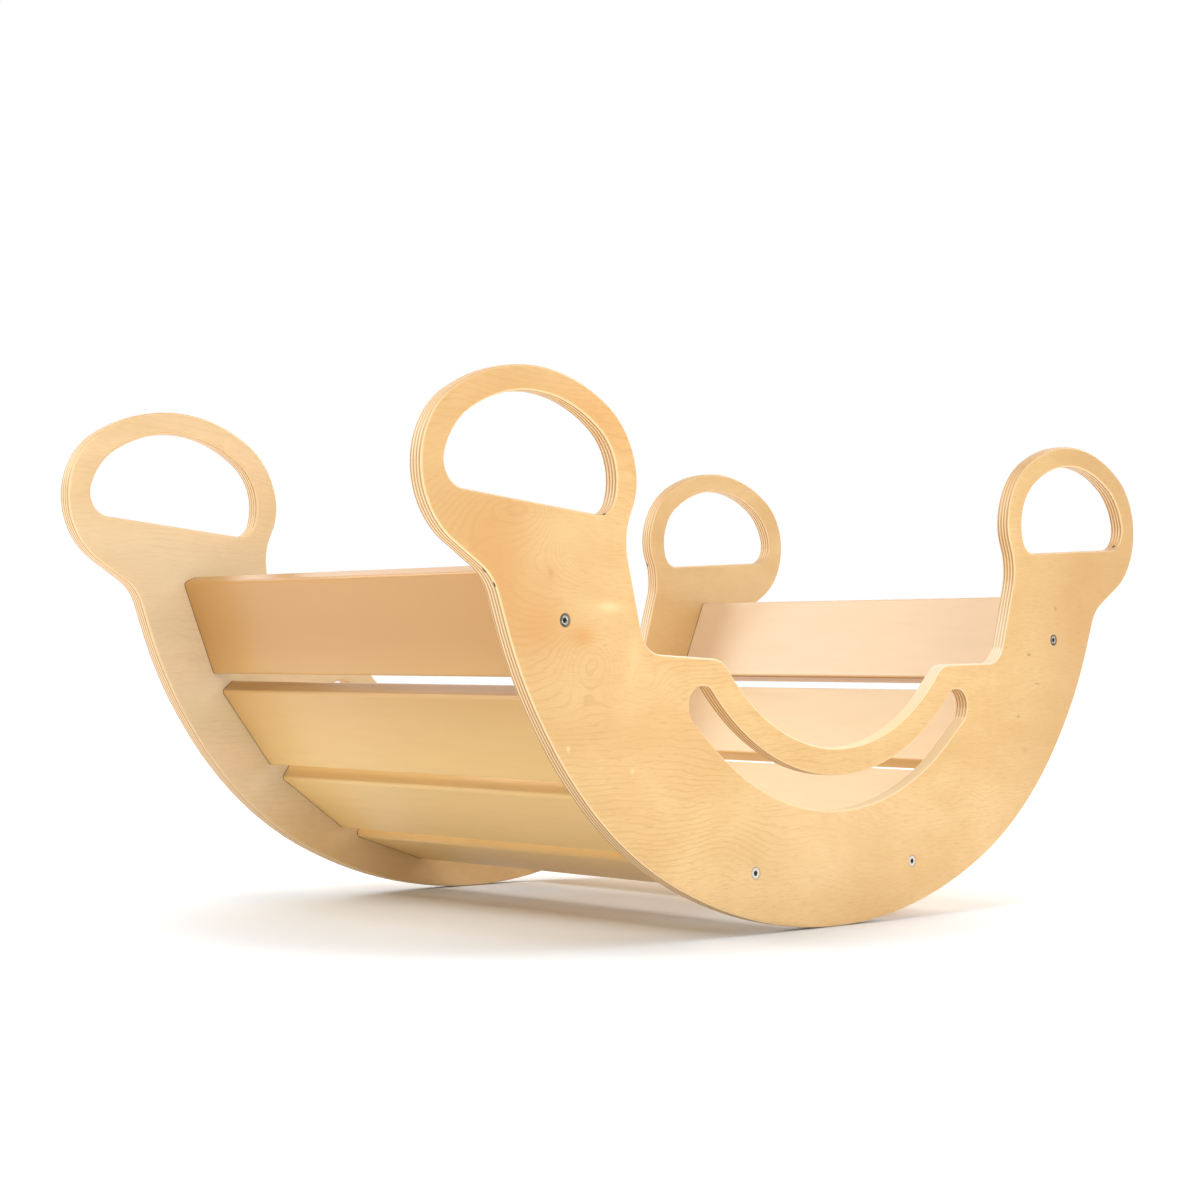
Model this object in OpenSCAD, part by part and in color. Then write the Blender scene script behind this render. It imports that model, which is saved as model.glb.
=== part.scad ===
// Rocker arch for a nursery: two plywood side panels with curved runners and
// oval hand holes, joined by eight rounded slats.
// +X runs along the runners, +Y across from the front panel to the rear panel, +Z up.
// The origin is on the floor, midway between the panels, under the lowest point.

/* [Overall size] */
// Length along the runners, over the two hand grips
rocker_length = 1000; // [700:5:1300]
// Height from the floor to the top of the grips
rocker_height = 467; // [330:1:600]
// Width over the outer faces of the two side panels
rocker_width = 508; // [300:1:800]

/* [Side panels] */
// Thickness of the plywood side panels
panel_t = 15; // [11:0.5:24]
// Depth of the stopped housings that hold the slat ends
housing_depth = 5; // [2:0.5:8]
// Glue gap round a slat end in its housing
housing_gap = 0.2; // [0.1:0.05:0.5]

/* [Slats] */
// Thickness of a slat
slat_t = 18; // [14:0.5:24]
// Radius on the long edges of a slat
slat_edge_r = 3.5; // [2:0.5:7]
// Clear distance between neighbouring slats, where they are closest on the ring
slat_gap = 15; // [8:0.5:30]
// Angle from straight down to the bottom slat, about the ring centre
slat_first = 17.3; // [14:0.1:20]
// Angle from straight down to the top slat, about the ring centre
slat_last = 67.1; // [60:0.1:70]

/* [Connecting screws] */
// Length of a screw, from the top of its head to its tip
screw_length = 50; // [35:1:70]
// Diameter of the countersunk head
head_d = 10; // [8.5:0.1:12]
// Height of the straight rim of the head
head_rim = 0.5; // [0.2:0.1:1]
// Depth of the head below the face of the panel
head_sink = 0.25; // [0.1:0.05:0.5]
// Diameter of the plain shank that fills the panel
shank_d = 7; // [6:0.1:7.5]
// Diameter over the thread
thread_d = 6.6; // [5.5:0.1:7]
// Diameter of the core under the thread
core_d = 4.8; // [3:0.1:5]
// Distance between two turns of the thread
thread_pitch = 3; // [2:0.5:4]
// Width across the flats of the hexagon socket
socket_af = 4.5; // [3:0.1:5]
// Depth of the hexagon socket
socket_depth = 3.2; // [2:0.1:4]
// Running gap round a screw in its hole
screw_gap = 0.1; // [0.05:0.05:0.3]

/* [Hidden] */

panel_colour = "#EFC68A";
slat_colour = "#EECBA0";
screw_colour = "#C9C9C6";

// The outlines below are drawn for this length and height, and are stretched to
// rocker_length and rocker_height.
drawn_length = 1000;
drawn_height = 467;
stretch = [rocker_length / drawn_length, rocker_height / drawn_height];

// An arc becomes flats that touch it in their middles. They stand off it by at most
// this much at their ends, and each turns by at most this angle.
arc_sag = 0.1;
arc_turn = 9;

// The ring that the slat centres lie on.
ring_r = 377;
ring_z = 413.5;
slats_a_side = 4;

left = -1;
right = 1;
cut = 1;       // how far a cutting tool runs past the face it cuts
facets = 48;   // facets of the round parts

// Corners are [x, z, radius] for the half at x > 0, where the radius rounds the corner.
// A radius of 0 stands for the arc that runs level through x = 0.
level = 0;
panel_corners = [
    [113.5, 0.0, level],      // bottom of the runner
    [301.7, 87.5, 361.2],     // middle of the runner
    [392.4, 213.0, 390.9],    // upper end of the runner
    [424.6, 298.6, 42.5],     // outer neck, hollow
    [498.0, 343.0, 69.9],     // grip, lower outer shoulder
    [501.9, 419.3, 69.0],     // grip, upper outer shoulder
    [388.1, 494.5, 154.1],    // grip, crown
    [272.7, 426.9, 76.8],     // grip, inner shoulder
    [264.3, 376.0, 53.6],     // grip, lower inner shoulder
    [280.8, 337.2, 57.7],     // inner neck, hollow
    [253.6, 242.1, 25.4],     // back of the step, hollow
    [158.3, 239.0, 26.7],     // front edge of the step
    [87.6, 161.1, level]      // bottom of the dip
];
hand_hole_corners = [
    [296.7, 352.6, 18.6],
    [482.9, 366.6, 21.9],
    [469.0, 416.2, 60.3],
    [374.2, 469.9, 121.8],
    [281.7, 401.1, 50.8]
];
// The crescent slot below the dip: its lower edge outwards, then back along the upper edge.
slot_corners = [
    [95.3, 104.5, level],     // lower edge
    [196.7, 187.8, 6.8],      // end, outside
    [203.3, 215.0, 15.9],     // end, top
    [174.4, 215.7, 11.6],     // end, inside
    [99.3, 136.3, level]      // upper edge
];

// ---- Outlines ------------------------------------------------------------------

function unit(v) = v / norm(v);

function mirrored(corners) = [
    for (i = [len(corners) - 1:-1:0]) [-corners[i][0], corners[i][1], corners[i][2]]
];

function spun(v, angle) = [
    v[0] * cos(angle) - v[1] * sin(angle),
    v[0] * sin(angle) + v[1] * cos(angle)
];

function flat(corner) = [corner[0], corner[1]];

// Half of the angle between the two sides that meet at a corner.
function half_angle(before, here, after) = acos(unit(before - here) * unit(after - here)) / 2;

// The radius asked for, or the one whose tangent points reach x = 0 from both sides.
function corner_radius(corner, half) =
    corner[2] == level ? abs(corner[0]) * tan(half) : corner[2];

function flats_in(turn, radius) =
    ceil(abs(turn) / min(arc_turn, 2 * acos(1 - arc_sag / radius)));

function corner_arc(before, corner, after) =
    let (
        here = flat(corner),
        half = half_angle(before, here, after),
        radius = corner_radius(corner, half),
        start = here + unit(before - here) * radius / tan(half),
        centre = here + unit(unit(before - here) + unit(after - here)) * radius / sin(half),
        turn = (180 - 2 * half) * sign(cross(here - before, after - here)),
        flats = flats_in(turn, radius),
        step = turn / flats
    )
    [
        for (i = [0:flats - 1])
            centre + spun(start - centre, step * (i + 0.5)) / cos(step / 2)
    ];

function rounded(corners) =
    let (count = len(corners))
    [
        for (i = [0:count - 1])
            each corner_arc(
                flat(corners[(i + count - 1) % count]),
                corners[i],
                flat(corners[(i + 1) % count])
            )
    ];

function stretched(points) = [
    for (point = points) [point[0] * stretch[0], point[1] * stretch[1]]
];

module panel_outline() {
    polygon(stretched(rounded(concat(panel_corners, mirrored(panel_corners)))));
}

module hand_hole_outline() {
    polygon(stretched(rounded(hand_hole_corners)));
}

module slot_outline() {
    polygon(stretched(rounded(concat(slot_corners, mirrored(slot_corners)))));
}

// ---- Where the slats lie ---------------------------------------------------------

function slat_angle(i) = slat_first + (slat_last - slat_first) * i / (slats_a_side - 1);

function slat_place(i) = [
    ring_r * sin(slat_angle(i)) * stretch[0],
    (ring_z - ring_r * cos(slat_angle(i))) * stretch[1]
];

// A slat lies along the stretched ring.
function slat_tilt(i) = atan2(
    sin(slat_angle(i)) * stretch[1],
    cos(slat_angle(i)) * stretch[0]
);

slat_width = min([
    for (i = [0:slats_a_side - 2]) norm(slat_place(i + 1) - slat_place(i))
]) - slat_gap;

// The section of a slat, grown by a gap on every side.
module slat_section(gap = 0) {
    half_w = slat_width / 2 + gap;
    half_t = slat_t / 2 + gap;
    radius = slat_edge_r + gap;
    polygon(rounded([
        [half_w, -half_t, radius],
        [half_w, half_t, radius],
        [-half_w, half_t, radius],
        [-half_w, -half_t, radius]
    ]));
}

module at_slat(i, side) {
    translate([side * slat_place(i)[0], slat_place(i)[1]])
        rotate(side * slat_tilt(i))
            children();
}

// Stands a drawing in x and z up, between two values of y.
module upright(from_y, to_y) {
    translate([0, to_y, 0])
        rotate([90, 0, 0])
            linear_extrude(height = to_y - from_y)
                children();
}

outer_y = rocker_width / 2;
inner_y = outer_y - panel_t;
slat_end_y = inner_y + housing_depth;

// ---- Connecting screws -----------------------------------------------------------

bottom_slat = 0;
top_slat = slats_a_side - 1;
screwed_slats = [bottom_slat, top_slat];

// Depths below the top of the head.
seat_top = head_rim;
seat_bottom = seat_top + (head_d - shank_d) / 2;
shank_end = panel_t - housing_depth - head_sink;
tip_length = core_d / 2;
thread_end = screw_length - tip_length - thread_pitch / 2;
turns = floor((thread_end - shank_end - thread_pitch) / thread_pitch);
tooth_half = thread_pitch / 3;
crest_half = 0.1;
socket_sides = 6;

// Half of the threaded end, from the axis out. The gap makes the hole for it.
function thread_profile(gap = 0) = concat(
    [
        for (turn = [1:turns])
            let (middle = shank_end + thread_pitch * turn)
            each [
                [core_d / 2 + gap, middle - tooth_half - gap],
                [thread_d / 2 + gap, middle - crest_half - gap],
                [thread_d / 2 + gap, middle + crest_half + gap],
                [core_d / 2 + gap, middle + tooth_half + gap]
            ]
    ],
    [
        [core_d / 2 + gap, screw_length - tip_length + gap],
        [0, screw_length + gap]
    ]
);

module screw_body() {
    rotate_extrude($fn = facets)
        polygon(concat(
            [
                [0, 0],
                [head_d / 2, 0],
                [head_d / 2, seat_top],
                [shank_d / 2, seat_bottom],
                [shank_d / 2, shank_end],
                [core_d / 2, shank_end]
            ],
            thread_profile()
        ));
}

module screw() {
    color(screw_colour)
        difference() {
            screw_body();
            translate([0, 0, -cut])
                cylinder(
                    h = socket_depth + cut,
                    d = socket_af / cos(180 / socket_sides),
                    $fn = socket_sides
                );
        }
}

// The countersunk hole through the panel. Its cone runs on past the face.
module panel_screw_hole() {
    seat_r = head_d / 2 + screw_gap;
    hole_r = shank_d / 2 + screw_gap;
    face = -head_sink - cut;
    rotate_extrude($fn = facets)
        polygon([
            [0, face],
            [seat_r + seat_top - face, face],
            [hole_r, seat_bottom],
            [hole_r, panel_t],
            [0, panel_t]
        ]);
}

// The hole in the end of a slat, with the thread that the screw cuts in it.
module slat_screw_hole() {
    rotate_extrude($fn = facets)
        polygon(concat(
            [
                [0, shank_end - cut],
                [core_d / 2 + screw_gap, shank_end - cut]
            ],
            thread_profile(screw_gap)
        ));
}

// Lays a screw's axis along +y, with its head sunk in the face at y = -outer_y.
module at_screw(i, side) {
    translate([side * slat_place(i)[0], head_sink - outer_y, slat_place(i)[1]])
        rotate([-90, 0, 0])
            children();
}

// ---- Pieces ----------------------------------------------------------------------

module panel() {
    color(panel_colour)
        difference() {
            upright(-outer_y, -inner_y)
                difference() {
                    panel_outline();
                    hand_hole_outline();
                    mirror([1, 0]) hand_hole_outline();
                    slot_outline();
                }
            for (side = [left, right]) {
                for (i = [0:slats_a_side - 1])
                    upright(-slat_end_y, cut - inner_y)
                        at_slat(i, side)
                            slat_section(housing_gap);
                for (i = screwed_slats)
                    at_screw(i, side) panel_screw_hole();
            }
        }
}

module front_panel() {
    panel();
}

module rear_panel() {
    mirror([0, 1, 0]) panel();
}

module slat(i, side) {
    color(slat_colour)
        difference() {
            upright(-slat_end_y, slat_end_y)
                at_slat(i, side)
                    slat_section();
            if (i == bottom_slat || i == top_slat) {
                at_screw(i, side) slat_screw_hole();
                mirror([0, 1, 0]) at_screw(i, side) slat_screw_hole();
            }
        }
}

module front_screw(i, side) {
    at_screw(i, side) screw();
}

module rear_screw(i, side) {
    mirror([0, 1, 0]) at_screw(i, side) screw();
}

front_panel();
rear_panel();

slat(0, left);  // slat_left_bottom
slat(1, left);  // slat_left_lower
slat(2, left);  // slat_left_upper
slat(3, left);  // slat_left_top
slat(0, right);  // slat_right_bottom
slat(1, right);  // slat_right_lower
slat(2, right);  // slat_right_upper
slat(3, right);  // slat_right_top

front_screw(top_slat, left);  // screw_front_left_top
front_screw(bottom_slat, left);  // screw_front_left_bottom
front_screw(top_slat, right);  // screw_front_right_top
front_screw(bottom_slat, right);  // screw_front_right_bottom
rear_screw(top_slat, left);  // screw_rear_left_top
rear_screw(bottom_slat, left);  // screw_rear_left_bottom
rear_screw(top_slat, right);  // screw_rear_right_top
rear_screw(bottom_slat, right);  // screw_rear_right_bottom
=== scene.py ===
"""Looks for the nursery rocker arch: birch plywood side panels, lacquered slats and
zinc connecting screws, on a pale studio floor. +X runs along the runners, +Z is up."""

import math

import bmesh
import bpy
from mathutils import Matrix, Vector


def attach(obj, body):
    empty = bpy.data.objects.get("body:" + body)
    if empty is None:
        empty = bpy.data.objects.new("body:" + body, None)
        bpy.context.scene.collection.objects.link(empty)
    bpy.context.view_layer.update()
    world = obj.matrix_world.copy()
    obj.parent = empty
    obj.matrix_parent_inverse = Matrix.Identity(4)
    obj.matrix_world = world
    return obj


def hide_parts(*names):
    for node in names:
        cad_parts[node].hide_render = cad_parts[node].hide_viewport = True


MM = 0.001
WIDE = 10000                                    # a half width in mm that leaves an axis out

# ---- Sizes of the finished pieces ------------------------------------------------

OUTER_Y = 254 * MM                              # outer faces of the two panels
PANEL_T = 15 * MM
PLY_COUNT = 9
ROUND_OVER = 2.5 * MM                           # sanded round-over on every panel edge
ROUND_STEPS = 4
ARC_CENTRE = 413.6 * MM                         # height of the centre that the slats face
HEAD_TOP = 253.75 * MM                          # how far out a screw's head reaches
SCREW_BREAK = 0.3 * MM                          # small radius on a screw head's edges
BREAK_STEPS = 3
SOCKET_REACH, SOCKET_DEEP = 2.8 * MM, 3.5 * MM  # the socket lies within this radius and depth
HEAD_RIM = 4.2 * MM                             # painted shade darkens a screw's head beyond this radius
RIM_SHADE = {"top": 0.9, "bottom": 0.1}             # how dark that painted shade is on the upper and lower screws

MERGE = 0.01 * MM                               # CAD corners nearer than this are one
CLOSE = 0.05 * MM                               # a corner this near a face lies on it
WALL_SLACK = 0.1 * MM                           # how much a through wall may fall short
UPRIGHT = 0.02                                  # a wall's normal leans less than this along y
FLAT_ANGLE = math.radians(0.4)                  # faces that turn less than this are one flat
SHARP_ANGLE = math.radians(30)                  # a screw's edges sharper than this are broken
SMOOTH_ANGLE = math.radians(34)                 # edges that turn less than this look round

# ---- Camera and light ------------------------------------------------------------

CAMERA_PLACE = (-1.563176, -1.508562, 0.218304)
CAMERA_YAW, CAMERA_PITCH, CAMERA_ROLL = 0.78547, 0.03719, 0.01345
CAMERA_LENS, SENSOR = 65.781, 36.0              # focal length and sensor width in mm
CLIP_NEAR, CLIP_FAR = 0.05, 60

# Soft lamps: name, place, size and power. All of them face the middle of the arch.
LAMPS = [
    ("window", (-1.9, 2.1, 1.7), (1.6, 1.4), 46),
    ("back", (0.0, 2.5, 2.3), (2.6, 1.6), 26),
    ("high_left", (-1.5, -0.4, 2.7), (1.6, 1.6), 44),
    ("front_fill", (-0.9, -3.8, 1.1), (2.8, 2.0), 62)
]
LAMP_AIM = (0, 0, 0.2)

FLOOR_HALF = 14.0
FLOOR_DROP = 0.2 * MM                           # keeps the floor clear of the runners
FLOOR_ROUGH = 0.9
FLOOR_COLOUR = (0.88, 0.88, 0.89, 1)
FLOOR_NEAR = (0.7, 0.72, 0.73, 1)               # in the shade round the arch
FLOOR_UNDER = (0.62, 0.55, 0.47, 1)             # warmed by light off the wood
# The floor changes with the distance from a centre. Each has its centre, then the
# distances at which the change starts and ends.
FLOOR_WARMTH = ((-0.02, 0, 0), 0.06, 0.2)
FLOOR_SHADE = ((-0.2, 0, 0), 0.25, 0.42)
FLOOR_GLOW = ((-0.1, 0, 0), 0.25, 0.8)
GLOW_STRENGTH = 0.6                             # lifts the far floor to the backdrop's white
STRAY_SPOT, STRAY_WIDTHS = (-170, 0, 0), (60, 300, WIDE)   # centre and half widths in mm
STRAY_LIGHT = 0.17                              # light that creeps in below the left slats

# Soft panels of the studio's light: axis and side they stand on, height and spread of
# their glow as the rise of a unit direction, and strength.
WORLD_PANELS = [(0, -1, 0.5, 0.25, 0.3), (0, 1, 0.5, 0.25, 3.9), (1, -1, 0.0, 0.3, 0.7)]
WORLD_BASE = 0.08                               # light from all round, beside the panels
NEARLY_ONE = 1.0001                             # over 1, so that straight up nothing divides by 0


# ---- Small helpers ---------------------------------------------------------------

def deselect():
    """Leaves nothing selected, in object mode."""
    if bpy.context.object and bpy.context.object.mode != "OBJECT":
        bpy.ops.object.mode_set(mode="OBJECT")
    bpy.ops.object.select_all(action="DESELECT")


def pick(piece):
    """Makes piece the one selected and active object."""
    deselect()
    piece.select_set(True)
    bpy.context.view_layer.objects.active = piece


def select_edges(piece, wanted):
    """Selects in edit mode the edges for which wanted(edge) is true, and leaves edit mode on."""
    bpy.ops.object.mode_set(mode="EDIT")
    bpy.ops.mesh.select_mode(type="EDGE")
    bpy.ops.mesh.select_all(action="DESELECT")
    shape = bmesh.from_edit_mesh(piece.data)
    for edge in shape.edges:
        edge.select = wanted(edge)
    bmesh.update_edit_mesh(piece.data)


def working_copy(frame, node):
    """A copy of a CAD node, with its loose triangles joined into clean flat faces."""
    piece = frame["nodes"][node].copy()
    piece.data = piece.data.copy()
    piece.name = piece.data.name = node + "_finished"
    for key in list(piece.keys()):
        del piece[key]
    piece.parent = None
    bpy.context.scene.collection.objects.link(piece)
    pick(piece)
    bpy.ops.object.mode_set(mode="EDIT")
    bpy.ops.mesh.select_all(action="SELECT")
    bpy.ops.mesh.remove_doubles(threshold=MERGE)
    bpy.ops.mesh.dissolve_limited(angle_limit=FLAT_ANGLE)
    bpy.ops.object.mode_set(mode="OBJECT")
    return piece


def finish_surface(piece):
    """Smooth shading across the rounds, with the flat faces kept flat."""
    pick(piece)
    bpy.ops.object.shade_smooth_by_angle(angle=SMOOTH_ANGLE)
    even = piece.modifiers.new("even faces", "WEIGHTED_NORMAL")
    even.keep_sharp = True
    even.weight = 100
    bpy.ops.object.modifier_apply(modifier=even.name)


def stand_for(piece, node, material):
    """The piece takes the CAD node's place and its finish."""
    piece.data.materials.clear()
    piece.data.materials.append(material)
    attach(piece, "root")
    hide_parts(node)


# ---- Node helpers ----------------------------------------------------------------

class Nodes:
    """Adds nodes to a tree, each with its settings and its inputs in one call. An input
    is a number, a colour, a vector or another node's output, and None leaves it as it is."""

    def __init__(self, tree):
        self.tree = tree

    def add(self, kind, *inputs, **settings):
        node = self.tree.nodes.new(kind)
        for key, value in settings.items():
            setattr(node, key, value)
        for index, value in enumerate(inputs):
            self.feed(node.inputs[index], value)
        return node

    def feed(self, socket, value):
        if value is None:
            return
        if isinstance(value, bpy.types.NodeSocket):
            self.tree.links.new(value, socket)
        else:
            socket.default_value = value

    def math(self, operation, *inputs):
        return self.add("ShaderNodeMath", *inputs, operation=operation).outputs[0]

    def times(self, first, second):
        return self.math("MULTIPLY", first, second)

    def vector(self, operation, *inputs):
        return self.add("ShaderNodeVectorMath", *inputs, operation=operation).outputs["Vector"]

    def measure(self, operation, *inputs):
        """A vector operation that gives a number, such as LENGTH or DOT_PRODUCT."""
        return self.add("ShaderNodeVectorMath", *inputs, operation=operation).outputs["Value"]

    def split(self, vector):
        """The x, y and z of a vector."""
        return self.add("ShaderNodeSeparateXYZ", vector).outputs

    def mix(self, share, first, second):
        """The first colour where share is 0, the second where it is 1."""
        node = self.tree.nodes.new("ShaderNodeMix")
        node.data_type = "RGBA"
        self.feed(node.inputs["Factor"], share)
        self.feed(node.inputs[6], first)
        self.feed(node.inputs[7], second)
        return node.outputs[2]

    def ramp(self, value, low, high, to_low=0.0, to_high=1.0):
        """Goes smoothly from to_low to to_high as value goes from low to high."""
        node = self.tree.nodes.new("ShaderNodeMapRange")
        node.interpolation_type = "SMOOTHSTEP"
        for index, number in enumerate((value, low, high, to_low, to_high)):
            self.feed(node.inputs[index], number)
        return node.outputs[0]

    def stretch(self, place, scale, shift=(0, 0, 0)):
        return self.add("ShaderNodeMapping", place, shift, None, scale).outputs[0]

    def distance(self, place, centre, axes=(1, 1, 1)):
        """How far a place is from centre, along the axes that are 1."""
        away = self.stretch(place, axes, [-part for part in centre])
        return self.measure("LENGTH", away)

    def pattern(self, place, name):
        """One of PATTERNS, as a number that changes over the surface."""
        scale, shift, detail, rough = PATTERNS[name]
        node = self.tree.nodes.new("ShaderNodeTexNoise")
        self.feed(node.inputs["Vector"], self.stretch(place, scale, shift))
        self.feed(node.inputs["Scale"], 1.0)
        self.feed(node.inputs["Detail"], detail)
        self.feed(node.inputs["Roughness"], rough)
        return node.outputs["Fac"]


def new_group(name, outputs):
    """An empty shader node group that takes a place and puts out the named numbers."""
    tree = bpy.data.node_groups.new(name, "ShaderNodeTree")
    tree.interface.new_socket("Place", in_out="INPUT", socket_type="NodeSocketVector")
    for label in outputs:
        tree.interface.new_socket(label, in_out="OUTPUT", socket_type="NodeSocketFloat")
    nodes = Nodes(tree)
    place = nodes.add("NodeGroupInput").outputs["Place"]
    return nodes, place, nodes.add("NodeGroupOutput").inputs


def use_group(nodes, group, place):
    """The outputs of a node group, worked out at a place."""
    node = nodes.tree.nodes.new("ShaderNodeGroup")
    node.node_tree = bpy.data.node_groups[group]
    nodes.feed(node.inputs["Place"], place)
    return node.outputs


def new_material(name):
    """A material with an empty tree, and its shader, ready to be fed."""
    material = bpy.data.materials.new(name)
    material.use_nodes = True
    tree = material.node_tree
    tree.nodes.clear()
    nodes = Nodes(tree)
    shader = nodes.add("ShaderNodeBsdfPrincipled")
    nodes.add("ShaderNodeOutputMaterial", shader.outputs[0])
    place = nodes.add("ShaderNodeTexCoord").outputs
    return material, nodes, shader.inputs, place


def srgb(r, g, b):
    """A colour from its 0 to 255 screen values, as the linear colour that nodes take."""
    def linear(v):
        v = v / 255
        return v / 12.92 if v <= 0.04045 else ((v + 0.055) / 1.055) ** 2.4
    return (linear(r), linear(g), linear(b), 1.0)


# ---- Colours ---------------------------------------------------------------------

HONEY = srgb(212, 170, 108), srgb(224, 187, 129)    # birch face, at its deepest and palest
GREYED = srgb(220, 208, 176), srgb(234, 214, 184)   # the same, greyed
GROWTH_LINE = srgb(180, 122, 62)
WARM_PATCH = srgb(210, 150, 78)
END_SHADE = srgb(174, 136, 84)                           # painted shade: faces darken towards both ends
FIBRE = srgb(192, 144, 84)
# painted highlight where the grain catches the light
SHEEN = srgb(232, 200, 146)
FLECK = srgb(136, 88, 44)
# bruised wood, and painted shade down in the countersinks
BRUISE_AND_SHADE = srgb(84, 66, 46)
PALE_PLY, BROWN_PLY = srgb(229, 197, 147), srgb(176, 134, 90)
GLUE_LINE = srgb(120, 86, 54)
EDGE_GRIT = srgb(160, 120, 80)
CROWN = srgb(196, 150, 96)                          # the upward edges of the grips
LIT_CREAM = srgb(255, 226, 176), srgb(250, 235, 216)    # painted light on those of the slot, and of the dip
VOID = srgb(46, 34, 26)
LACQUER = srgb(240, 203, 137), srgb(188, 141, 81)   # painted light and shade: paler on the bottom slats, darker on the top slats
# painted light on the faces that turn to the arch's centre
LACQUER_LIT_INSIDE = srgb(243, 221, 191)
LACQUER_GRAIN = srgb(176, 126, 76)
# a dark joint line, partly painted shade of the gap
JOINT_AND_SHADE_LINE = srgb(70, 56, 34)
ZINC = srgb(200, 196, 186), srgb(236, 234, 228)
# painted shade round the rim of a screw's head
ZINC_RIM_SHADE = srgb(74, 66, 52)
# painted shade down in a screw's socket
SOCKET_SHADE = srgb(14, 13, 12)


# ---- Wood figure -----------------------------------------------------------------

# Patterns of noise: how often each repeats in a metre along x, y and z, how far it is
# moved so that no two look alike, its detail and its roughness.
STAY = (0, 0, 0)
PATTERNS = {
    "slow wander": ((2.6, 0, 6.5), STAY, 2.0, 0.4),
    "quick wander": ((9, 0, 26), STAY, 3.0, 0.5),
    "coarse fade": ((9, 0, 19), (3, 0, 1), 2.0, 0.5),
    "fine fade": ((6, 0, 12), (8, 0, 4), 2.0, 0.5),
    "tone": ((7, 0, 15), (5, 0, 2), 4.0, 0.6),
    "fibres": ((75, 0, 620), STAY, 4.0, 0.65),
    "ply waver": ((26, 4, 26), STAY, 2.0, 0.5),
    "edge grit": ((500, 1800, 500), STAY, 2.0, 0.6),
    "slat grain": ((120, 14, 120), STAY, 1.0, 0.4),
    "zinc cloud": ((900, 900, 900), STAY, 3.0, 0.6)
}
WANDER_SLOW, WANDER_QUICK = 110 * MM, 30 * MM   # how far the growth lines stray
COARSE_GAP, COARSE_BLUR = 6.5 * MM, 0.4         # spacing of the strong growth lines
COARSE_FADE, FINE_FADE = (0.32, 0.62), (0.35, 0.7)  # where on its pattern each line comes in
FINE_GAP, FINE_BLUR, FINE_SHARE = 2.2 * MM, 0.6, 0.55
LINE_END = 0.93                                 # where in its gap a growth line is darkest
CALM_ACROSS, CALM_SHARE = (-0.12, 0.08), 0.3    # the strong lines are weaker on the right
PLY_WAVER = 0.7 * MM
PLY_SOFT = 0.3                                  # how softly one ply gives way to the next
VOID_SOFT = (0.2, 0.45)                         # where on its bell a void's edge lies
BRUISE_AND_SHADE_IN, BRUISE_AND_SHADE_OUT = 5.6 * MM, 6.3 * MM      # radii between which the bruise and its painted shade fade

# Where the peeled veneer swings round a knot: centre x and z in mm, how far the growth
# lines are lifted there, pushed along x and pushed along z, and half widths.
SWIRLS = [
    (-345, 348, 0, 200, -42, 72, 40),
    (-420, 330, 10, 40, -10, 50, 50),
    (-318, 238, -52, 0, 0, 34, 30),
    (-292, 282, 18, 26, 0, 26, 20),
    (-238, 215, 20, -34, 0, 40, 16),
    (-160, 77, -20, 0, 0, 42, 50),
    (350, 322, 26, 0, 0, 26, 34),
    (20, 60, 14, 20, 0, 60, 34)
]
# Pin knots and flecks: centre x and z, half width and half height, in mm, and strength.
FLECKS = [
    (303, 251, 2.6, 1.0, 0.9),
    (318, 222, 4.0, 0.6, 0.7),
    (285, 189, 2.6, 1.1, 0.6),
    (297, 155, 5.0, 2.4, 0.25),
    (-364, 303, 3.0, 4.0, 0.2),
    (350, 299, 2.0, 2.0, 0.5)
]
# Warmer patches of veneer: the same.
WARMS = [
    (-327, 254, 13, 8, 0.8),
    (-372, 262, 24, 22, 0.6),
    (-363, 306, 12, 12, 0.3),
    (-425, 300, 40, 70, 0.8),
    (-350, 430, 110, 30, 0.7),
    (415, 310, 80, 120, 0.3)
]
# Painted highlights where the grain catches the light: the same, for a paler tone.
SHEENS = [
    (-298, 279, 15, 4, 0.8),
    (-352, 330, 30, 24, 0.2),
    (-268, 240, 9, 20, 0.35),
    (-342, 164, 2, 2, 0.8),
    (-268, 145, 2, 2, 0.8),
    (-20, 75, 90, 45, 0.4)
]
# Dark gaps between plies that show on the edges: centre x, y and z, and half widths.
VOIDS = [
    (-432.2, -251, 302.5, 2.6, 1.0, 2.6),
    (-423, -252.5, 292, 2.2, 0.6, 2.2),
    (-304, -252.5, 354.6, 2.0, 1.0, 1.4),
    (468, -248.5, 369.2, 2.4, 1.4, 1.6),
    (273.4, 251, 354.4, 2.2, 1.0, 2.2)
]
# The screws: x and z in mm, and how dark the bruised wood and painted shade are round each.
SCREW_SPOTS = [
    (-347.3, 266.8, 0.75),
    (347.3, 266.8, 0.75),
    (-112.1, 53.6, 0.3),
    (112.1, 53.6, 0.3)
]


def bell(nodes, place, centre, widths):
    """A soft bump of height 1 at centre and 0 away from it. It gives the offset too."""
    away = nodes.vector("SUBTRACT", place, Vector(centre) * MM)
    away = nodes.vector("DIVIDE", away, Vector(widths) * MM)
    square = nodes.measure("DOT_PRODUCT", away, away)
    return nodes.math("EXPONENT", nodes.times(square, -1.0)), away


def marks(nodes, place, spots):
    """The sum of soft spots on the face, each (x, z, half width, half height, strength)."""
    total = 0.0
    for cx, cz, wx, wz, strength in spots:
        spot = bell(nodes, place, (cx, 0, cz), (wx, WIDE, wz))[0]
        total = nodes.math("MULTIPLY_ADD", spot, strength, total)
    return total


def growth_lines(nodes, field, gap, blur):
    """Each line darkens slowly and ends sharply, as a growth ring does."""
    ring = nodes.math("FRACT", nodes.math("DIVIDE", field, gap))
    rise = nodes.ramp(ring, 1 - blur, LINE_END)
    fall = nodes.ramp(ring, LINE_END, 1.0, 1.0, 0.0)
    return nodes.times(rise, fall)


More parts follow.
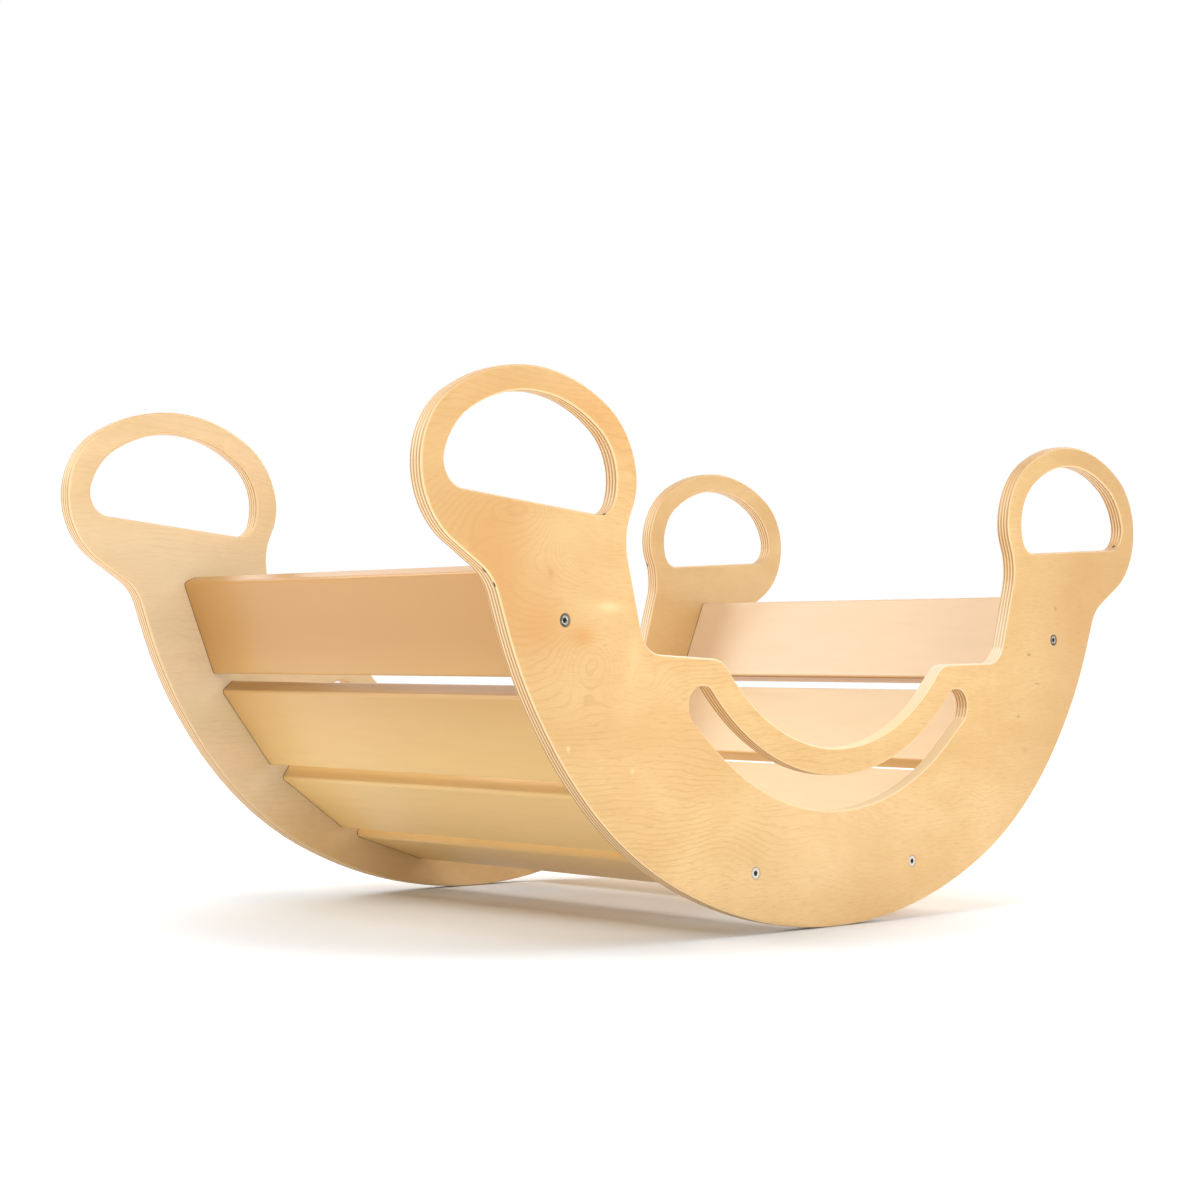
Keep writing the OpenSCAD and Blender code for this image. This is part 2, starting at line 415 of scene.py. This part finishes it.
def growth_field(nodes, place):
    """A height that wanders over the veneer. The growth lines are its contours."""
    slow = nodes.pattern(place, "slow wander")
    quick = nodes.pattern(place, "quick wander")
    field = nodes.math("MULTIPLY_ADD", slow, WANDER_SLOW, nodes.split(place)[2])
    field = nodes.math("MULTIPLY_ADD", quick, WANDER_QUICK, field)
    for cx, cz, rise, push_x, push_z, wx, wz in SWIRLS:
        bump, away = bell(nodes, place, (cx, 0, cz), (wx, WIDE, wz))
        slope = nodes.measure("DOT_PRODUCT", away, Vector((push_x, 0, push_z)) * MM)
        field = nodes.math("MULTIPLY_ADD", bump, nodes.math("ADD", slope, rise * MM), field)
    return field


def build_veneer_figure():
    """The figure of rotary-cut birch on a panel's face: growth lines that wander and close
    round knots, short fibres along the grain, a slow change of tone, flecks, and sheens that are
    painted highlights."""
    nodes, place, put = new_group(
        "veneer_figure", ("Lines", "Tone", "Fibres", "Flecks", "Sheens", "Warmth"))
    field = growth_field(nodes, place)
    coarse = growth_lines(nodes, field, COARSE_GAP, COARSE_BLUR)
    fade = nodes.ramp(nodes.pattern(place, "coarse fade"), *COARSE_FADE)
    fade = nodes.times(fade, nodes.ramp(nodes.split(place)[0], *CALM_ACROSS, 1.0, CALM_SHARE))
    fine = growth_lines(nodes, field, FINE_GAP, FINE_BLUR)
    fine = nodes.times(fine, nodes.ramp(nodes.pattern(place, "fine fade"), *FINE_FADE))
    fine = nodes.times(fine, FINE_SHARE)
    nodes.feed(put["Lines"], nodes.math("MULTIPLY_ADD", coarse, fade, fine))
    nodes.feed(put["Tone"], nodes.pattern(place, "tone"))
    nodes.feed(put["Fibres"], nodes.pattern(place, "fibres"))
    nodes.feed(put["Flecks"], marks(nodes, place, FLECKS))
    nodes.feed(put["Sheens"], marks(nodes, place, SHEENS))
    nodes.feed(put["Warmth"], nodes.math("MINIMUM", marks(nodes, place, WARMS), 1.0))


def build_ply_layers():
    """The layers seen on a plywood edge: pale and brown plies that waver a little, glue
    lines between them, and a few voids."""
    nodes, place, put = new_group("ply_layers", ("Brown", "Glue", "Grit", "Voids"))
    waver = nodes.math("SUBTRACT", nodes.pattern(place, "ply waver"), 0.5)
    depth = nodes.math("SUBTRACT", OUTER_Y, nodes.math("ABSOLUTE", nodes.split(place)[1]))
    depth = nodes.math("MULTIPLY_ADD", waver, PLY_WAVER, depth)
    layer = nodes.math("DIVIDE", depth, PANEL_T / PLY_COUNT)
    half_turns = nodes.times(nodes.math("SUBTRACT", layer, 0.5), math.pi)
    swing = nodes.math("COSINE", half_turns)
    between = nodes.math("ABSOLUTE", swing)
    nodes.feed(put["Brown"], nodes.ramp(swing, PLY_SOFT, -PLY_SOFT))
    nodes.feed(put["Glue"], nodes.ramp(between, 0.0, PLY_SOFT, 1.0, 0.0))
    nodes.feed(put["Grit"], nodes.pattern(place, "edge grit"))
    total = 0.0
    for x, y, z, wx, wy, wz in VOIDS:
        total = nodes.math("ADD", bell(nodes, place, (x, y, z), (wx, wy, wz))[0], total)
    nodes.feed(put["Voids"], nodes.ramp(total, *VOID_SOFT))


def build_countersink_shade():
    """A dark ring round each screw: bruised wood, and painted shade down in its countersink."""
    nodes, place, put = new_group("countersink_shade", ("Rings",))
    total = 0.0
    for x, z, strength in SCREW_SPOTS:
        away = nodes.distance(place, (x * MM, 0, z * MM), axes=(1, 0, 1))
        # painted shade and bruise, darkest near the screw
        ring = nodes.ramp(away, BRUISE_AND_SHADE_IN, BRUISE_AND_SHADE_OUT, strength, 0.0)
        total = nodes.math("ADD", ring, total)
    nodes.feed(put["Rings"], total)


# ---- Materials -------------------------------------------------------------------

FAR_PALE = 0.75                                 # how much greyer the far panel's faces are
FAR_SHIFT = (0.21, 0, 0.13)                     # gives the far panel its own figure

# Each tone comes in, or goes, between two values of x, of z, of a pattern or of the lean
# of the surface. Its share is how strong it is at its strongest, or what is left of it.
GREY_ACROSS, GREY_RIGHT = (-0.3, 0.2), 0.15     # greyed at the left, and a little at the right
GREY_FLOOR_BOUNCE, GREY_BOUNCE_LOW = (0.02, 0.12), 0.3        # less near the floor, where warm bounce light off the wood is painted in
GREY_GRIPS, GREY_HIGH = (0.28, 0.4), 0.45       # and less up on the grips
TONE_SPREAD = (0.3, 0.7)
LINE_SHARE, LINE_GREYED = 0.29, 0.24            # growth lines, and what greying takes off
FIBRE_SPREAD, FIBRE_SHARE, FIBRE_GREYED = (0.45, 0.8), 0.6, 0.5
# painted shade towards both ends of the near panel
END_SHADE_ACROSS, END_SHADE_SHARE = (0.2, 0.42), 0.4
LAYERS_LEAN, LAYERS_UP = (0.1, 0.8), 0.35       # layers show less where the edge faces up, washed out by painted light
GLUE_SHARE = 0.4
GRIT_SPREAD, GRIT_SHARE = (0.5, 0.85), 0.3
CROWN_LEAN, CROWN_HIGH, CROWN_SHARE = (0.2, 0.95), (0.3, 0.4), 0.75
# painted light on the upward edges down in the dip and the slot
DIP_LEAN, DIP_HIGH, DIP_SHARE = (0.05, 0.5), (0.26, 0.34), 0.45
LIT_CREAM_HIGH = (0.17, 0.25)                       # from the slot's painted light to the dip's
FACE_LEAN = (0.72, 0.97)                        # from edge to face, across the round-over
EDGE_ROUGH, FACE_ROUGH = 0.6, 0.42
PLY_COAT, PLY_COAT_ROUGH = 0.15, 0.3
RELIEF, RELIEF_DEEP, RELIEF_SHARE = 0.12, 0.1 * MM, 0.6

LACQUER_SHADE_HIGH = (0.1, 0.267)                     # painted shade deepens from the bottom slats to the top ones
INSIDE_LEAN, INSIDE_SHARE = (-0.3, -0.1), 0.6
GRAIN_SPREAD, GRAIN_SHARE = (0.3, 0.8), 0.05
JOINT_REACH, JOINT_SHARE = (237.4 * MM, 238.8 * MM), 0.7
LACQUER_ROUGH, LACQUER_GLOSS = (0.32, 0.34), 0.4
ZINC_ROUGH, SOCKET_METAL = (0.3, 0.48), 0.2
ROUGH_SPREAD = (0.2, 0.8)                       # the stretch of a pattern that roughness follows


def ply_face(nodes, figure, rings, spot, pale):
    """The colour of a panel's figured faces. They are greyed most at the left, and less
    near the floor, where warm bounce light off the wood is painted in, and up on the grips."""
    across, _, high = nodes.split(spot)
    fade = nodes.ramp(across, *GREY_ACROSS, pale, GREY_RIGHT * pale)
    # warm bounce light off the wood, painted in near the floor
    fade = nodes.times(fade, nodes.ramp(high, *GREY_FLOOR_BOUNCE, GREY_BOUNCE_LOW, 1.0))
    fade = nodes.times(fade, nodes.ramp(high, *GREY_GRIPS, 1.0, GREY_HIGH))
    tone = nodes.ramp(figure["Tone"], *TONE_SPREAD)
    face = nodes.mix(fade, nodes.mix(tone, *HONEY), nodes.mix(tone, *GREYED))
    lines = nodes.times(figure["Lines"], LINE_SHARE - LINE_GREYED * pale)
    face = nodes.mix(lines, face, GROWTH_LINE)
    face = nodes.mix(figure["Warmth"], face, WARM_PATCH)
    outward = nodes.math("ABSOLUTE", across)
    # painted shade, darker towards both ends
    end_shade = nodes.ramp(outward, *END_SHADE_ACROSS, 0.0, END_SHADE_SHARE * (1 - pale))
    face = nodes.mix(end_shade, face, END_SHADE)
    fibre_share = FIBRE_SHARE - FIBRE_GREYED * pale
    fibres = nodes.ramp(figure["Fibres"], *FIBRE_SPREAD, 0.0, fibre_share)
    face = nodes.mix(fibres, face, FIBRE)
    # painted highlights where the grain catches the light
    face = nodes.mix(figure["Sheens"], face, SHEEN)
    face = nodes.mix(figure["Flecks"], face, FLECK)
    # the dark ring round each screw: bruised wood and painted shade
    return nodes.mix(rings["Rings"], face, BRUISE_AND_SHADE)


def ply_edge(nodes, layers, high, upward):
    """The colour of a panel's layered edges. The layers show less where the edge faces up, as
    painted light washes them out. Such edges are darker on top of the grips, and paler down in
    the dip and the slot, where the pale tone is painted light."""
    # painted light washes the layers out where the edge faces up
    clear = nodes.ramp(upward, *LAYERS_LEAN, 1.0, LAYERS_UP)
    edge = nodes.mix(nodes.times(layers["Brown"], clear), PALE_PLY, BROWN_PLY)
    glue = nodes.times(layers["Glue"], nodes.times(clear, GLUE_SHARE))
    edge = nodes.mix(glue, edge, GLUE_LINE)
    grit = nodes.times(nodes.ramp(layers["Grit"], *GRIT_SPREAD, 0.0, GRIT_SHARE), clear)
    edge = nodes.mix(grit, edge, EDGE_GRIT)
    crown = nodes.ramp(high, *CROWN_HIGH, 0.0, CROWN_SHARE)
    crown = nodes.times(nodes.ramp(upward, *CROWN_LEAN), crown)
    edge = nodes.mix(crown, edge, CROWN)
    # painted light: upward edges down in the dip and the slot are paler
    dip = nodes.ramp(high, *DIP_HIGH, DIP_SHARE, 0.0)
    dip = nodes.times(nodes.ramp(upward, *DIP_LEAN), dip)
    edge = nodes.mix(dip, edge, nodes.mix(nodes.ramp(high, *LIT_CREAM_HIGH), *LIT_CREAM))
    return nodes.mix(layers["Voids"], edge, VOID)


def birch_ply(name, pale, shift):
    """Clear-lacquered birch plywood: figured faces and layered edges.
    pale greys the faces; shift moves the figure, so that two panels differ."""
    material, nodes, shader, place = new_material(name)
    spot = place["Object"]
    figure = use_group(nodes, "veneer_figure", nodes.stretch(spot, (1, 1, 1), shift))
    layers = use_group(nodes, "ply_layers", spot)
    rings = use_group(nodes, "countersink_shade", spot)
    _, outward, upward = nodes.split(place["Normal"])

    face = ply_face(nodes, figure, rings, spot, pale)
    edge = ply_edge(nodes, layers, nodes.split(spot)[2], upward)
    flat = nodes.ramp(nodes.math("ABSOLUTE", outward), *FACE_LEAN)
    nodes.feed(shader["Base Color"], nodes.mix(flat, edge, face))
    nodes.feed(shader["Roughness"], nodes.ramp(flat, 0.0, 1.0, EDGE_ROUGH, FACE_ROUGH))
    shader["Coat Weight"].default_value = PLY_COAT
    shader["Coat Roughness"].default_value = PLY_COAT_ROUGH

    fibres = nodes.times(figure["Fibres"], RELIEF_SHARE)
    grit = nodes.times(layers["Grit"], RELIEF_SHARE)
    bump = nodes.add("ShaderNodeBump")
    bump.inputs["Strength"].default_value = RELIEF
    bump.inputs["Distance"].default_value = RELIEF_DEEP
    nodes.feed(bump.inputs["Height"], nodes.math("ADD", fibres, grit))
    nodes.feed(shader["Normal"], bump.outputs[0])
    return material


def slat_lacquer():
    """Smooth satin lacquer, paler with painted light on the faces that turn to the arch's centre,
    with a dark joint line, partly painted shade of the gap, where each slat enters its panel."""
    material, nodes, shader, place = new_material("slat_lacquer")
    spot = place["Object"]
    _, along, high = nodes.split(spot)
    grain = nodes.pattern(spot, "slat grain")
    # painted light and shade: paler low down, darker high up
    tone = nodes.mix(nodes.ramp(high, *LACQUER_SHADE_HIGH), *LACQUER)
    # painted light on the faces that turn to the arch's centre
    away = nodes.stretch(spot, (1, 0, 1), (0, 0, -ARC_CENTRE))
    outward = nodes.measure("DOT_PRODUCT", away, place["Normal"])
    lit_inside = nodes.ramp(outward, *INSIDE_LEAN, INSIDE_SHARE, 0.0)
    tone = nodes.mix(lit_inside, tone, LACQUER_LIT_INSIDE)
    tone = nodes.mix(nodes.ramp(grain, *GRAIN_SPREAD, 0.0, GRAIN_SHARE), tone, LACQUER_GRAIN)
    # dark joint line where each slat enters its panel, partly painted shade of the gap
    joint_shade = nodes.ramp(nodes.math("ABSOLUTE", along), *JOINT_REACH, 0.0, JOINT_SHARE)
    nodes.feed(shader["Base Color"], nodes.mix(joint_shade, tone, JOINT_AND_SHADE_LINE))
    nodes.feed(shader["Roughness"], nodes.ramp(grain, *ROUGH_SPREAD, *LACQUER_ROUGH))
    shader["Specular IOR Level"].default_value = LACQUER_GLOSS
    return material


def screw_zinc():
    """Zinc plate, a little cloudy, with painted shade round the rim of the head, and painted
    shade near black down in the socket.
    """
    material, nodes, shader, place = new_material("screw_zinc")
    cloud = nodes.pattern(place["Object"], "zinc cloud")
    recess = nodes.add("ShaderNodeAttribute", attribute_name="recess").outputs["Fac"]
    painted_shade = nodes.add("ShaderNodeAttribute", attribute_name="painted_shade").outputs["Fac"]
    # painted shade on the rim of the head
    plate = nodes.mix(painted_shade, nodes.mix(cloud, *ZINC), ZINC_RIM_SHADE)
    # the socket is painted near black, as shade
    nodes.feed(shader["Base Color"], nodes.mix(recess, plate, SOCKET_SHADE))
    nodes.feed(shader["Metallic"], nodes.ramp(recess, 0.0, 1.0, 1.0, SOCKET_METAL))
    nodes.feed(shader["Roughness"], nodes.ramp(cloud, *ROUGH_SPREAD, *ZINC_ROUGH))
    return material


# ---- Pieces ----------------------------------------------------------------------

def is_rim(edge):
    """An edge where a panel's face meets a wall that runs through its whole thickness."""
    for corner in edge.verts:
        depth = OUTER_Y - abs(corner.co.y)
        if min(abs(depth), abs(depth - PANEL_T)) > CLOSE:
            return False
    if abs(edge.verts[0].co.y - edge.verts[1].co.y) > CLOSE:
        return False
    for face in edge.link_faces:
        span = [corner.co.y for corner in face.verts]
        if abs(face.normal.y) < UPRIGHT and max(span) - min(span) > PANEL_T - WALL_SLACK:
            return True
    return False


def make_panel(frame, node, material):
    """A side panel with its sanded round-over on every outer edge and hole edge."""
    panel = working_copy(frame, node)
    select_edges(panel, is_rim)
    bpy.ops.mesh.bevel(offset=ROUND_OVER, segments=ROUND_STEPS, profile=0.5, clamp_overlap=True)
    bpy.ops.object.mode_set(mode="OBJECT")
    finish_surface(panel)
    stand_for(panel, node, material)


def make_slat(frame, node, material):
    """A slat, whose rounded edges are smoothed."""
    slat = working_copy(frame, node)
    finish_surface(slat)
    stand_for(slat, node, material)


def is_head_edge(edge):
    """A sharp edge round the top of a screw's head, or round the mouth of its socket."""
    reach = min(abs(corner.co.y) for corner in edge.verts)
    return reach > HEAD_TOP - CLOSE and edge.calc_face_angle(0) > SHARP_ANGLE


def mark_screw(screw, rim_painted_shade):
    """Marks a screw's socket as a recess, and its head's rim for painted shade, for its finish.
    """
    corners = screw.data.vertices
    middle = [sum(corner.co[axis] for corner in corners) / len(corners) for axis in (0, 2)]
    recess = screw.data.attributes.new("recess", "FLOAT", "POINT")
    painted_shade = screw.data.attributes.new("painted_shade", "FLOAT", "POINT")
    for index, corner in enumerate(corners):
        out = math.hypot(corner.co.x - middle[0], corner.co.z - middle[1])
        deep = HEAD_TOP - abs(corner.co.y)
        hollow = out < SOCKET_REACH and SCREW_BREAK < deep < SOCKET_DEEP
        recess.data[index].value = 1.0 if hollow else 0.0
        # painted shade round the rim of the head
        painted_shade.data[index].value = rim_painted_shade if out > HEAD_RIM else 0.0


def make_screw(frame, node, material):
    """A screw with the edges of its head broken."""
    screw = working_copy(frame, node)
    select_edges(screw, is_head_edge)
    bpy.ops.mesh.bevel(offset=SCREW_BREAK, segments=BREAK_STEPS, profile=0.5,
                       clamp_overlap=False)
    bpy.ops.object.mode_set(mode="OBJECT")
    finish_surface(screw)
    mark_screw(screw, RIM_SHADE["top" if node.endswith("top") else "bottom"])
    stand_for(screw, node, material)


# ---- Studio ----------------------------------------------------------------------

def make_floor():
    """A pale studio floor that lightens away from the object, into the backdrop."""
    deselect()
    bpy.ops.mesh.primitive_plane_add(size=2 * FLOOR_HALF, location=(0, 0, -FLOOR_DROP))
    floor = bpy.context.object
    floor.name = "studio_floor"
    material, nodes, shader, place = new_material("studio_floor")
    spot = place["Object"]

    def outside(zone, *strengths):
        """Goes from 0 to 1, or between the strengths, on the way out of a zone."""
        centre, start, end = zone
        return nodes.ramp(nodes.distance(spot, centre), start, end, *strengths)

    near = nodes.mix(outside(FLOOR_WARMTH), FLOOR_UNDER, FLOOR_NEAR)
    nodes.feed(shader["Base Color"], nodes.mix(outside(FLOOR_SHADE), near, FLOOR_COLOUR))
    shader["Roughness"].default_value = FLOOR_ROUGH
    shader["Emission Color"].default_value = (1, 1, 1, 1)
    stray = nodes.times(bell(nodes, spot, STRAY_SPOT, STRAY_WIDTHS)[0], STRAY_LIGHT)
    glow = outside(FLOOR_GLOW, 0.0, GLOW_STRENGTH)
    nodes.feed(shader["Emission Strength"], nodes.math("ADD", glow, stray))
    floor.data.materials.append(material)


def make_world():
    """White to the camera. As a light it is a few soft panels standing round the arch."""
    world = bpy.data.worlds.new("studio")
    bpy.context.scene.world = world
    world.use_nodes = True
    world.node_tree.nodes.clear()
    nodes = Nodes(world.node_tree)
    axes = nodes.split(nodes.add("ShaderNodeTexCoord").outputs["Generated"])
    level = nodes.math("SUBTRACT", NEARLY_ONE, nodes.times(axes[2], axes[2]))
    lit = WORLD_BASE
    for axis, side, height, spread, strength in WORLD_PANELS:
        reach = nodes.math("MAXIMUM", nodes.times(axes[axis], side), 0.0)
        reach = nodes.math("DIVIDE", nodes.times(reach, reach), level)
        rise = nodes.math("DIVIDE", nodes.math("SUBTRACT", axes[2], height), spread)
        fade = nodes.math("EXPONENT", nodes.times(nodes.times(rise, rise), -1.0))
        panel = nodes.times(nodes.times(reach, fade), strength)
        lit = nodes.math("ADD", lit, panel)
    seen = nodes.add("ShaderNodeLightPath").outputs["Is Camera Ray"]
    unseen = nodes.math("SUBTRACT", 1.0, seen)
    background = nodes.add("ShaderNodeBackground")
    background.inputs["Color"].default_value = (1.0, 1.0, 1.0, 1.0)
    nodes.feed(background.inputs["Strength"], nodes.math("ADD", nodes.times(lit, unseen), seen))
    nodes.add("ShaderNodeOutputWorld", background.outputs[0])


def soft_box(name, place, size, power):
    """A soft lamp that the camera doesn't see."""
    data = bpy.data.lights.new(name, "AREA")
    data.shape = "RECTANGLE"
    data.size, data.size_y = size
    data.energy = power
    lamp = bpy.data.objects.new(name, data)
    lamp.location = place
    lamp.visible_camera = False
    lamp.rotation_euler = (Vector(LAMP_AIM) - Vector(place)).to_track_quat("-Z", "Y").to_euler()
    bpy.context.scene.collection.objects.link(lamp)


def make_camera():
    """The photograph's camera: yaw from +Y towards +X, then pitch up, then roll."""
    sy, cy = math.sin(CAMERA_YAW), math.cos(CAMERA_YAW)
    sp, cp = math.sin(CAMERA_PITCH), math.cos(CAMERA_PITCH)
    ahead = Vector((sy * cp, cy * cp, sp))
    level = Vector((cy, -sy, 0))
    above = level.cross(ahead)
    right = math.cos(CAMERA_ROLL) * level + math.sin(CAMERA_ROLL) * above
    up = math.cos(CAMERA_ROLL) * above - math.sin(CAMERA_ROLL) * level
    turn = Matrix((right, up, -ahead)).transposed().to_4x4()
    data = bpy.data.cameras.new("camera")
    data.sensor_fit = "HORIZONTAL"
    data.sensor_width = SENSOR
    data.lens = CAMERA_LENS
    data.clip_start, data.clip_end = CLIP_NEAR, CLIP_FAR
    camera = bpy.data.objects.new("camera", data)
    camera.matrix_world = Matrix.Translation(CAMERA_PLACE) @ turn
    bpy.context.scene.collection.objects.link(camera)
    bpy.context.scene.camera = camera


# ---- The scene -------------------------------------------------------------------

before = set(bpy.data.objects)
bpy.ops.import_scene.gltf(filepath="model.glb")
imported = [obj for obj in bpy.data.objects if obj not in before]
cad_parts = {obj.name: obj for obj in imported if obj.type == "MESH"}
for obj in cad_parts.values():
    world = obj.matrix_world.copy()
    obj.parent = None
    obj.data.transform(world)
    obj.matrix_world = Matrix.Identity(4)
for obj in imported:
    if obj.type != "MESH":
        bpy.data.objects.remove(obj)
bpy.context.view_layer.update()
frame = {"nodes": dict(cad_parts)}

bpy.context.scene.view_settings.view_transform = "Standard"
make_camera()
make_world()
make_floor()
for name, place, size, power in LAMPS:
    soft_box(name, place, size, power)

build_veneer_figure()
build_ply_layers()
build_countersink_shade()
plywood = {
    "front_panel": birch_ply("panel_plywood_front", 0.0, (0, 0, 0)),
    "rear_panel": birch_ply("panel_plywood_rear", FAR_PALE, FAR_SHIFT)
}
lacquer = slat_lacquer()
zinc = screw_zinc()

for node in sorted(frame["nodes"]):
    if node in plywood:
        make_panel(frame, node, plywood[node])
    elif node.startswith("slat"):
        make_slat(frame, node, lacquer)
    else:
        make_screw(frame, node, zinc)
